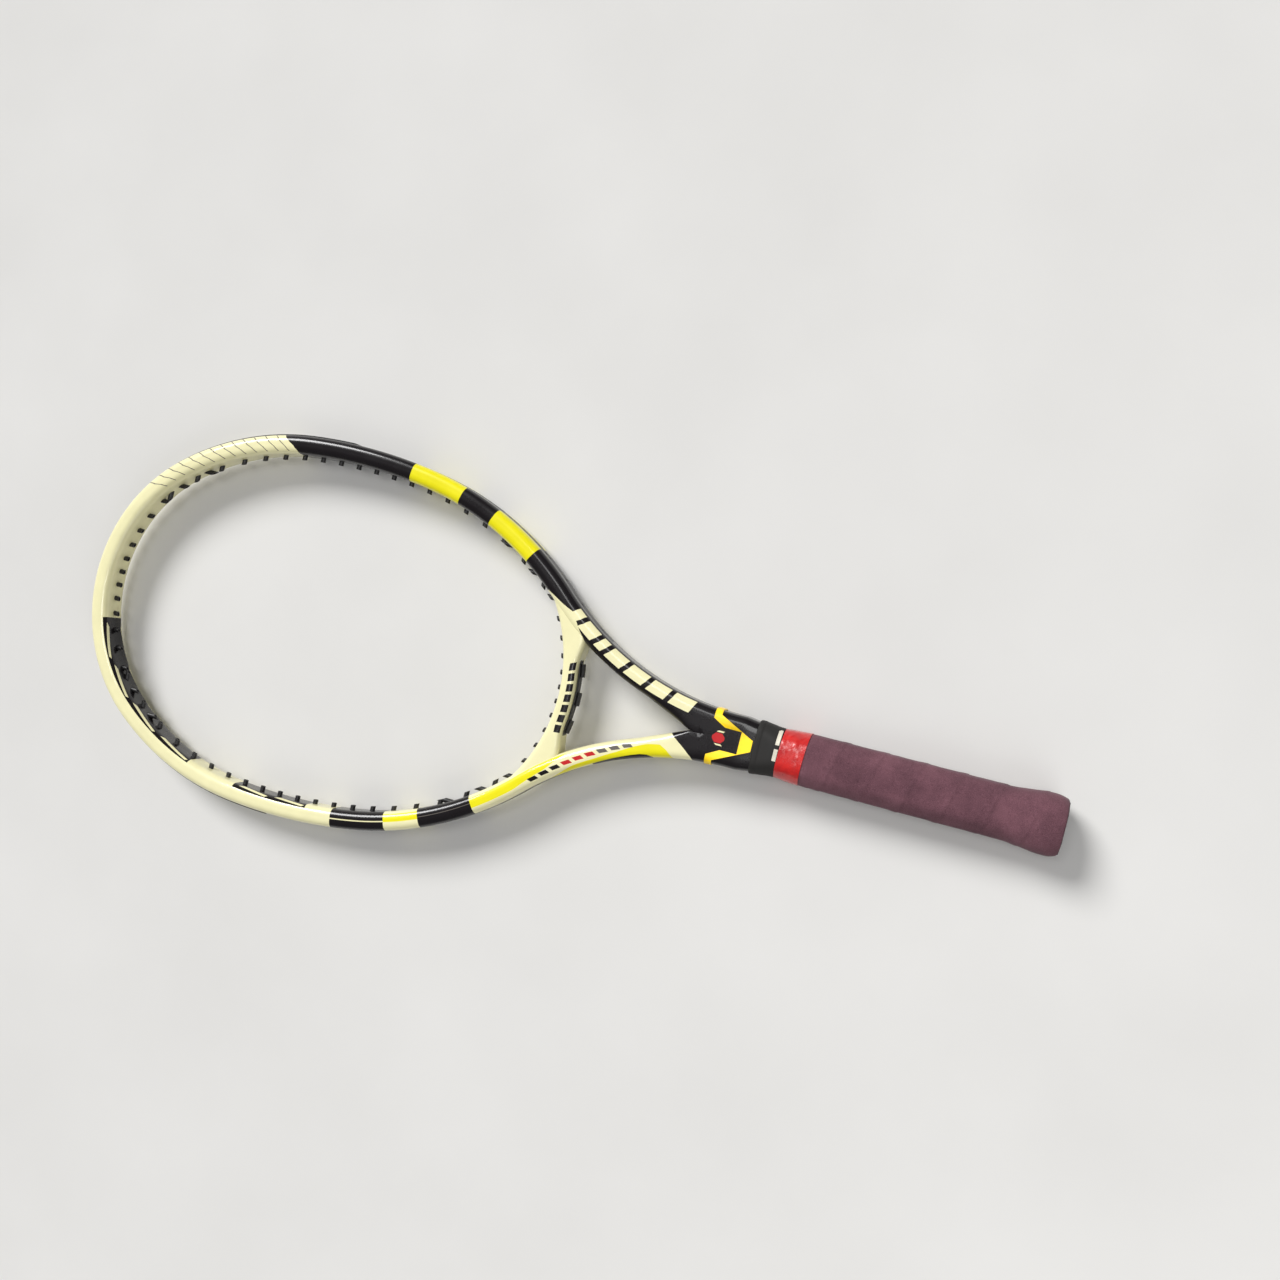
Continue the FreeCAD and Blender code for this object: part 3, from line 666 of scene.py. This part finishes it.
def frame_piece():
    halves = []
    for side, paint in ((-1, paint_upper_side), (1, paint_lower_side)):
        tube = PaintedTube(frame_stops(), ring_columns(True), frame_section)
        paint(tube)
        roll_frame(tube, side)
        halves.append(tube.bm)
    whole = join_parts(halves)
    bmesh.ops.remove_doubles(whole, verts=whole.verts, dist=SEAM_MERGE)
    middle = [face for face in whole.faces if all(abs(vert.co.y) < SEAM_MERGE for vert in face.verts)]
    bmesh.ops.delete(whole, geom=middle, context="FACES")
    rim = [edge for edge in whole.edges if edge.is_boundary]
    bmesh.ops.holes_fill(whole, edges=rim, sides=0)
    finish_mesh("frame_shell", whole, PAINTS.values(), "racket", ["frame_hairpin"])


frame_piece()

# ---------------------------------------------------------------- throat bridge

BRIDGE_END = math.radians(36.5)
BRIDGE_CORNER = 3.5
BRIDGE_MARKS = 7
BRIDGE_MARK_LENGTH = 4.8
BRIDGE_MARK_PITCH = 6.6
BRIDGE_MARK_DEPTHS = (0.9, 5.0)
BRIDGE_MARK_SLANT = 1.0
# The handle side swells by this much between the two pairs of angles, in degrees from the middle.
BRIDGE_FLARE = 6.5
BRIDGE_FLARE_RISE = (6, 20)
BRIDGE_FLARE_FALL = (22, 30)
# The sheet's two edges, and the points at its seam, are joined within this, in metres.
BRIDGE_MERGE = 2e-5
bridge_low, bridge_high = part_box("throat_bridge")
BRIDGE_HALF_DEPTH = (bridge_high.z - bridge_low.z) / 2 / MM


def bridge_section(distance):
    """The bridge's section; its handle side flares where it runs into the legs."""
    degrees = math.degrees(abs(distance) / BRIDGE_RADIUS)
    flare = BRIDGE_FLARE * smooth_step(degrees, *BRIDGE_FLARE_RISE) ** 2
    flare *= 1 - smooth_step(degrees, *BRIDGE_FLARE_FALL)
    return BRIDGE_THICKNESS + flare, BRIDGE_CORNER, BRIDGE_CORNER, BRIDGE_HALF_DEPTH, 0.0


def bridge_piece():
    reach = BRIDGE_END * BRIDGE_RADIUS
    stops = [reach * (step / 40 - 1) for step in range(81)]
    tube = PaintedTube(stops, ring_columns(False), bridge_section)
    shallow, deep = BRIDGE_MARK_DEPTHS
    for index in range(BRIDGE_MARKS):
        start = (index - BRIDGE_MARKS / 2) * BRIDGE_MARK_PITCH + 0.8
        end = start + BRIDGE_MARK_LENGTH
        corners = [(start, shallow), (end, shallow),
                   (end + BRIDGE_MARK_SLANT, deep), (start + BRIDGE_MARK_SLANT, deep)]
        tube.patch(corners, "black", True, 2)
    for vert in tube.bm.verts:
        distance, ring = vert.co.x, vert.co.y / tube.RING_SCALE
        width, outer_corner, inner_corner, half_depth, groove = bridge_section(distance)
        depth, height = section_offset(ring, width, half_depth, outer_corner, inner_corner, groove)
        angle = distance / BRIDGE_RADIUS
        radius = BRIDGE_RADIUS + width - depth
        vert.co = to_scene(BRIDGE_CENTRE - radius * math.cos(angle), radius * math.sin(angle), height)
    bmesh.ops.remove_doubles(tube.bm, verts=tube.bm.verts, dist=BRIDGE_MERGE)
    rim = [edge for edge in tube.bm.edges if edge.is_boundary]
    bmesh.ops.holes_fill(tube.bm, edges=rim, sides=0)
    finish_mesh("bridge_shell", tube.bm, PAINTS.values(), "racket", ["throat_bridge"])


bridge_piece()

# ---------------------------------------------------------------- handle

overgrip_low, overgrip_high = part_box("overgrip")
FLARE_HALF_WIDTH = (overgrip_high.y - overgrip_low.y) / 2 / MM
FLARE_HALF_HEIGHT = (overgrip_high.z - overgrip_low.z) / 2 / MM
GRIP_HALF_WIDTH = 17.2
GRIP_HALF_HEIGHT = 15.5
BEVEL_SHARE = 0.48
FLARE_START = 38
FLARE_FULL = 8
TAPER_START = 160
TAPER_LENGTH = 20
TAPER_WIDTH = 1.8
TAPER_HEIGHT = 1.6
WRAP_PITCH = 25.0
WRAP_STEP = 0.3
WRAP_LUMP = 0.2
WRAP_THICKNESS = 0.6
# How much the butt's rim turns in, and how crisp the grip's eight sides are at the butt and above it.
RIM_WIDTH = 2
RIM_HEIGHT = 1.8
BUTT_SOFTNESS = 9
GRIP_SOFTNESS = 13


def grip_size(x):
    """Half width and half height of the wrapped grip at X: flared at the butt, narrowed at the top."""
    flare = 1 - smooth_step(x, FLARE_FULL, FLARE_START)
    rim = max(1 - x / FLARE_FULL, 0) ** 2
    taper = max(x - TAPER_START, 0) / TAPER_LENGTH
    half_width = GRIP_HALF_WIDTH + (FLARE_HALF_WIDTH - GRIP_HALF_WIDTH) * flare
    half_height = GRIP_HALF_HEIGHT + (FLARE_HALF_HEIGHT - GRIP_HALF_HEIGHT) * flare
    half_width -= RIM_WIDTH * rim + TAPER_WIDTH * taper
    half_height -= RIM_HEIGHT * rim + TAPER_HEIGHT * taper
    return half_width, half_height


def octagon_radius(angle, half_width, half_height, bevel_share=BEVEL_SHARE, softness=GRIP_SOFTNESS):
    """Radius of a soft eight-sided section in a direction."""
    across, up = abs(math.cos(angle)), abs(math.sin(angle))
    diagonal = half_width + half_height - bevel_share * half_width
    total = (across / half_width) ** softness + (up / half_height) ** softness
    total += ((across + up) / diagonal) ** softness
    return total ** (-1 / softness)


def wrapped_surface(rings, columns, point):
    """A closed sleeve of rings, the last joined to the first; point(ring, angle) gives millimetres."""
    bm = bmesh.new()
    rows = []
    for ring in range(rings):
        rows.append([bm.verts.new(to_scene(*point(ring, 2 * math.pi * column / columns)))
                     for column in range(columns)])
    for near, far in zip(rows, rows[1:] + rows[:1]):
        for column in range(columns):
            after = (column + 1) % columns
            bm.faces.new((near[column], near[after], far[after], far[column]))
    return bm


def overgrip_piece(felt):
    """Soft tape wound in a spiral, with a lining: each turn steps up where it laps over the last one."""
    start, length_rings = 0.9, 250
    rim = [(1.6, 3.0), (0.5, 2.6), (0.15, 1.9), (0.1, 1.1), (0.35, 0.4)]
    body = [(start + (OVERGRIP_TOP - start) * step / length_rings, 0.0) for step in range(length_rings + 1)]
    lining = [(x, WRAP_THICKNESS) for x, _ in body[::-6]]
    profile = rim + body + lining

    def point(ring, angle):
        x, inset = profile[ring]
        half_width, half_height = grip_size(x)
        outside = 1.0 if ring < len(rim) + len(body) else 0.0
        turn = (x / WRAP_PITCH + angle / (2 * math.pi)) % 1.0
        lap = WRAP_STEP * smooth_step(turn, 0.0, 0.02) * (1 - smooth_step(turn, 0.05, 0.3))
        lap *= smooth_step(x, 2, 7) * outside
        lump = WRAP_LUMP * noise.noise(Vector((x / 9, math.cos(angle) * 2, math.sin(angle) * 2)))
        softness = BUTT_SOFTNESS + (GRIP_SOFTNESS - BUTT_SOFTNESS) * smooth_step(x, 20, 50)
        radius = octagon_radius(angle, half_width, half_height, softness=softness) - inset + lap - 0.1
        radius += lump * smooth_step(x, 0, 3) * outside
        return x, radius * math.cos(angle), radius * math.sin(angle)

    bm = wrapped_surface(len(profile), 128, point)
    finish_mesh("overgrip_wrap", bm, [felt], "racket", ["overgrip"], 60)


def felt_material():
    result, tree, shader = material("overgrip_felt", 0.95, sheen=0.12, specular=0.15)
    shader.inputs["Sheen Roughness"].default_value = 0.4
    cloud = noise_node(tree, 45, 5, 0.6)
    fibre = noise_node(tree, 2600, 4, 0.7)
    tone = ramp(tree, cloud, [(0.3, (0.066, 0.021, 0.03)), (0.7, (0.21, 0.084, 0.107))])
    flecks = ramp(tree, fibre, [(0.35, (0.02, 0.01, 0.013)), (0.75, (0.34, 0.18, 0.22))])
    node = tree.nodes.new("ShaderNodeMix")
    node.data_type = "RGBA"
    node.inputs["Factor"].default_value = 0.45
    tree.links.new(tone, node.inputs["A"])
    tree.links.new(flecks, node.inputs["B"])
    tree.links.new(node.outputs["Result"], shader.inputs["Base Color"])
    fuzz = bump(tree, shader, fibre, 0.00018, 0.8)
    bump(tree, shader, noise_node(tree, 500, 3), 0.0003, 0.5, fuzz)
    return result


overgrip_piece(felt_material())


def soft_sleeve(name, low, high, inset, paint):
    """A plain sleeve under the overgrip, with the same softened edges, replacing the node of that name."""
    rings = int((high - low) / 2)
    outside = [(low + (high - low) * ring / rings, inset) for ring in range(rings + 1)]
    profile = outside + [(x, inset + 1.0) for x, _ in outside[::-1]]

    def point(ring, angle):
        x, depth = profile[ring]
        radius = octagon_radius(angle, *grip_size(x)) - depth
        return x, radius * math.cos(angle), radius * math.sin(angle)

    finish_mesh(name + "_sleeve", wrapped_surface(len(profile), 96, point), [paint], "racket", [name],
                60)


def red_tape_piece(vinyl):
    """Glossy tape wound tight over the end of the overgrip, creased where the grip tapers."""
    lift = 0.3
    across = [0.0, 0.0] + [step / 22 for step in range(23)] + [1.0, 1.0]
    insets = [1.2, 0.3] + [0.0] * 23 + [0.3, 1.4]

    def point(ring, angle):
        tilt = 0.9 * math.sin(angle + 0.8)
        low = TAPE_START + 0.4 + tilt
        high = TAPE_TOP + tilt * 0.6
        x = low + (high - low) * across[ring]
        half_width, half_height = grip_size(x)
        crease = noise.noise(Vector((x / 3.2 + angle * 1.5, angle * 2.2, 3.0)))
        ridge = 0.16 * (1 - abs(crease) * 3) if abs(crease) < 0.33 else 0.0
        seam = 0.22 * smooth_step((x - low) / (high - low) - angle / (2 * math.pi), 0.0, 0.03)
        radius = octagon_radius(angle, half_width, half_height) + lift - insets[ring] + ridge + seam
        return x, radius * math.cos(angle), radius * math.sin(angle)

    bm = wrapped_surface(len(across), 160, point)
    finish_mesh("red_tape_wrap", bm, [vinyl], "racket", ["overgrip_finishing_tape"], 50)


def tape_material():
    result, tree, shader = material("red_tape_vinyl", 0.3, coat=0.5, coat_roughness=0.12)
    cloud = noise_node(tree, 120, 5, 0.6)
    wrinkle = noise_node(tree, 420, 5, 0.7)
    tree.links.new(ramp(tree, cloud, [(0.3, (0.42, 0.006, 0.008)), (0.7, (0.66, 0.018, 0.014))]),
                   shader.inputs["Base Color"])
    tree.links.new(value_range(tree, cloud, 0.2, 0.42), shader.inputs["Roughness"])
    bump(tree, shader, wrinkle, 0.00035, 0.6)
    return result


red_tape_piece(tape_material())

COLLAR_START = TAPE_TOP + 0.2
# Y from and to of the two pale marks on the collar's foot.
COLLAR_MARKS = ((-14.5, -5), (-2.5, 5.5))
COLLAR_RING_STEP = 0.8


def collar_piece(rubber, mark):
    """Rubber sleeve over the top of the grip: it follows the taper, then ends in a rounded lip."""
    # X, half width and half height.
    profile = [(COLLAR_START - 0.4, 14.6, 13.0), (COLLAR_START, 15.7, 14.0), (COLLAR_START + 0.5, 16.1, 14.4),
               (184, 16.3, 14.3), (188, 16.9, 13.6), (192, 17.4, 13.0), (192.4, 17.6, 13.2),
               (194.8, 17.7, 13.2), (195.5, 17.5, 12.9), (COLLAR_TOP - 0.2, 17.2, 12.4),
               (COLLAR_TOP, 16.0, 10.8)]
    rings = []
    for (x, width, height), (next_x, next_width, next_height) in zip(profile, profile[1:]):
        steps = max(int((next_x - x) / COLLAR_RING_STEP), 1)
        for step in range(steps):
            share = step / steps
            rings.append((x + (next_x - x) * share, width + (next_width - width) * share,
                          height + (next_height - height) * share))
    rings.append(profile[-1])

    def point(ring, angle):
        x, half_width, half_height = rings[ring]
        bevel = BEVEL_SHARE - 0.14 * smooth_step(x, 180, 194)
        radius = octagon_radius(angle, half_width, half_height, bevel, 14)
        return x, radius * math.cos(angle), radius * math.sin(angle)

    bm = wrapped_surface(len(rings), 144, point)
    for face in bm.faces:
        middle = face.calc_center_median()
        x = (middle.x - BUTT_X) / MM
        y = middle.y / MM
        band = COLLAR_START + 0.6 < x < COLLAR_START + 2.8
        if middle.z > MIDDLE_Z and band and any(low < y < high for low, high in COLLAR_MARKS):
            face.material_index = 1
    finish_mesh("collar_sleeve", bm, [rubber, mark], "racket", ["rubber_collar"], 50)


collar_piece(moulded("collar_rubber", (0.008, 0.007, 0.006), 0.75, 1800, 0.00008),
             moulded("printed_mark", (0.62, 0.58, 0.48), 0.5))

# ---------------------------------------------------------------- CAD nodes that keep their shape

nylon = moulded("grommet_nylon", (0.012, 0.011, 0.011), 0.42, 1600, 0.00006)
pad_rubber = moulded("string_pad_rubber", (0.02, 0.019, 0.018), 0.6, 2200, 0.00006)
band_rubber = moulded("band_elastomer", GOLD, 0.42, 1500, 0.00004, coat=0.15)
cap_plastic = moulded("cap_plastic", (0.014, 0.013, 0.014), 0.38, 1200, 0.00005)
door_plastic = moulded("door_plastic", (0.02, 0.02, 0.021), 0.45, 2600, 0.00008)
foam = moulded("skinned_foam", (0.5, 0.42, 0.28), 0.8, 900, 0.0002)
leather = moulded("base_grip_leather", (0.02, 0.019, 0.02), 0.6, 700, 0.0002)
black_tape = moulded("black_tape", (0.015, 0.015, 0.015), 0.35)
wire = moulded("plated_wire", (0.55, 0.55, 0.56), 0.3)
wire.node_tree.nodes["Principled BSDF"].inputs["Metallic"].default_value = 1.0

NODE_MATERIALS = {
    "head_bumper_guard": nylon, "grommet_strip_left": nylon, "grommet_strip_right": nylon,
    "bridge_grommet_strip": nylon, "bridge_string_pads": pad_rubber, "damper_band": band_rubber,
    "butt_cap": cap_plastic, "butt_cap_door": door_plastic, "handle_foam_front": foam,
    "handle_foam_rear": foam, "shaft_end_plugs": foam,
    "grip_start_tack": wire, "butt_cap_staples": wire,
}
# The base grip and its tape lie this far under the overgrip's outside.
BASE_GRIP_INSET = 1.2
BASE_TAPE_INSET = 0.5
base_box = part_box("base_grip")
base_tape_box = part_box("base_grip_tape")
soft_sleeve("base_grip", (base_box[0].x - BUTT_X) / MM, (base_box[1].x - BUTT_X) / MM,
            BASE_GRIP_INSET, leather)
soft_sleeve("base_grip_tape", (base_tape_box[0].x - BUTT_X) / MM, (base_tape_box[1].x - BUTT_X) / MM,
            BASE_TAPE_INSET, black_tape)

for node_name, node_material in NODE_MATERIALS.items():
    for material_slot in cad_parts[node_name].material_slots:
        material_slot.material = node_material

# ---------------------------------------------------------------- stage, light and camera

def add_lamp(data, at):
    """Hangs a light at a point, aimed at the middle of the racket."""
    lamp = bpy.data.objects.new(data.name, data)
    lamp.location = at
    lamp.rotation_euler = (-Vector(at)).to_track_quat("-Z", "Y").to_euler()
    bpy.context.scene.collection.objects.link(lamp)


def area_light(name, at, size, power):
    data = bpy.data.lights.new(name, "AREA")
    data.shape = "RECTANGLE"
    data.size, data.size_y = size
    data.energy = power
    add_lamp(data, at)


def distant_light(name, at, spread_degrees, strength):
    """A big far-off soft light, so the floor is lit evenly."""
    data = bpy.data.lights.new(name, "SUN")
    data.angle = math.radians(spread_degrees)
    data.energy = strength
    add_lamp(data, at)


FLOOR_HALF = 6


def floor_piece():
    result, tree, shader = material("floor_paint", 0.85, specular=0.25)
    tree.links.new(ramp(tree, noise_node(tree, 6, 4), [(0.3, (0.66, 0.65, 0.63)), (0.7, (0.7, 0.69, 0.67))]),
                   shader.inputs["Base Color"])
    bm = bmesh.new()
    bmesh.ops.create_grid(bm, x_segments=1, y_segments=1, size=FLOOR_HALF)
    mesh = bpy.data.meshes.new("floor")
    bm.to_mesh(mesh)
    bm.free()
    mesh.materials.append(result)
    floor = bpy.data.objects.new("floor", mesh)
    floor.location.z = cad_box[0].z
    bpy.context.scene.collection.objects.link(floor)


floor_piece()
# The key comes from the tip's side, as the photo's light does. Places are in metres, the key's strength
# in watts per square metre and the others' power in watts.
KEY_AT, KEY_SPREAD, KEY_STRENGTH = (2.08, -1.92, 2.4), 24, 3.1
FILL_AT, FILL_SIZE, FILL_POWER = (-2.24, 1.76, 2.56), (2.56, 2.56), 31
TOP_AT, TOP_SIZE, TOP_POWER = (-0.16, -0.32, 3.04), (1.76, 0.64), 23
distant_light("key", KEY_AT, KEY_SPREAD, KEY_STRENGTH)
area_light("fill", FILL_AT, FILL_SIZE, FILL_POWER)
area_light("top", TOP_AT, TOP_SIZE, TOP_POWER)
STUDIO_COLOUR, STUDIO_STRENGTH = (0.8, 0.82, 0.85, 1), 0.2
world = bpy.data.worlds.new("studio")
bpy.context.scene.world = world
world.use_nodes = True
world.node_tree.nodes["Background"].inputs["Color"].default_value = STUDIO_COLOUR
world.node_tree.nodes["Background"].inputs["Strength"].default_value = STUDIO_STRENGTH

# The camera stands off the string bed near the throat and looks at a point beside the bridge.
CAMERA_AT = (88.9, -66.9, 884.3)
CAMERA_TARGET = (286.8, -48.3, 0)
CAMERA_UP_DEGREES = -76.2
CAMERA_UP_RISE = 0.034
CAMERA_LENS = 38.7


def set_camera():
    data = bpy.data.cameras.new("camera")
    data.lens = CAMERA_LENS
    data.sensor_width = 36
    eye = to_scene(*CAMERA_AT)
    back = (eye - to_scene(*CAMERA_TARGET)).normalized()
    up_angle = math.radians(CAMERA_UP_DEGREES)
    up_hint = Vector((math.cos(up_angle), math.sin(up_angle), CAMERA_UP_RISE))
    right = up_hint.cross(back).normalized()
    up = back.cross(right)
    camera = bpy.data.objects.new("camera", data)
    camera.matrix_world = Matrix.Translation(eye) @ Matrix((right, up, back)).transposed().to_4x4()
    bpy.context.scene.collection.objects.link(camera)
    bpy.context.scene.camera = camera


set_camera()
bpy.context.scene.view_settings.view_transform = "Standard"
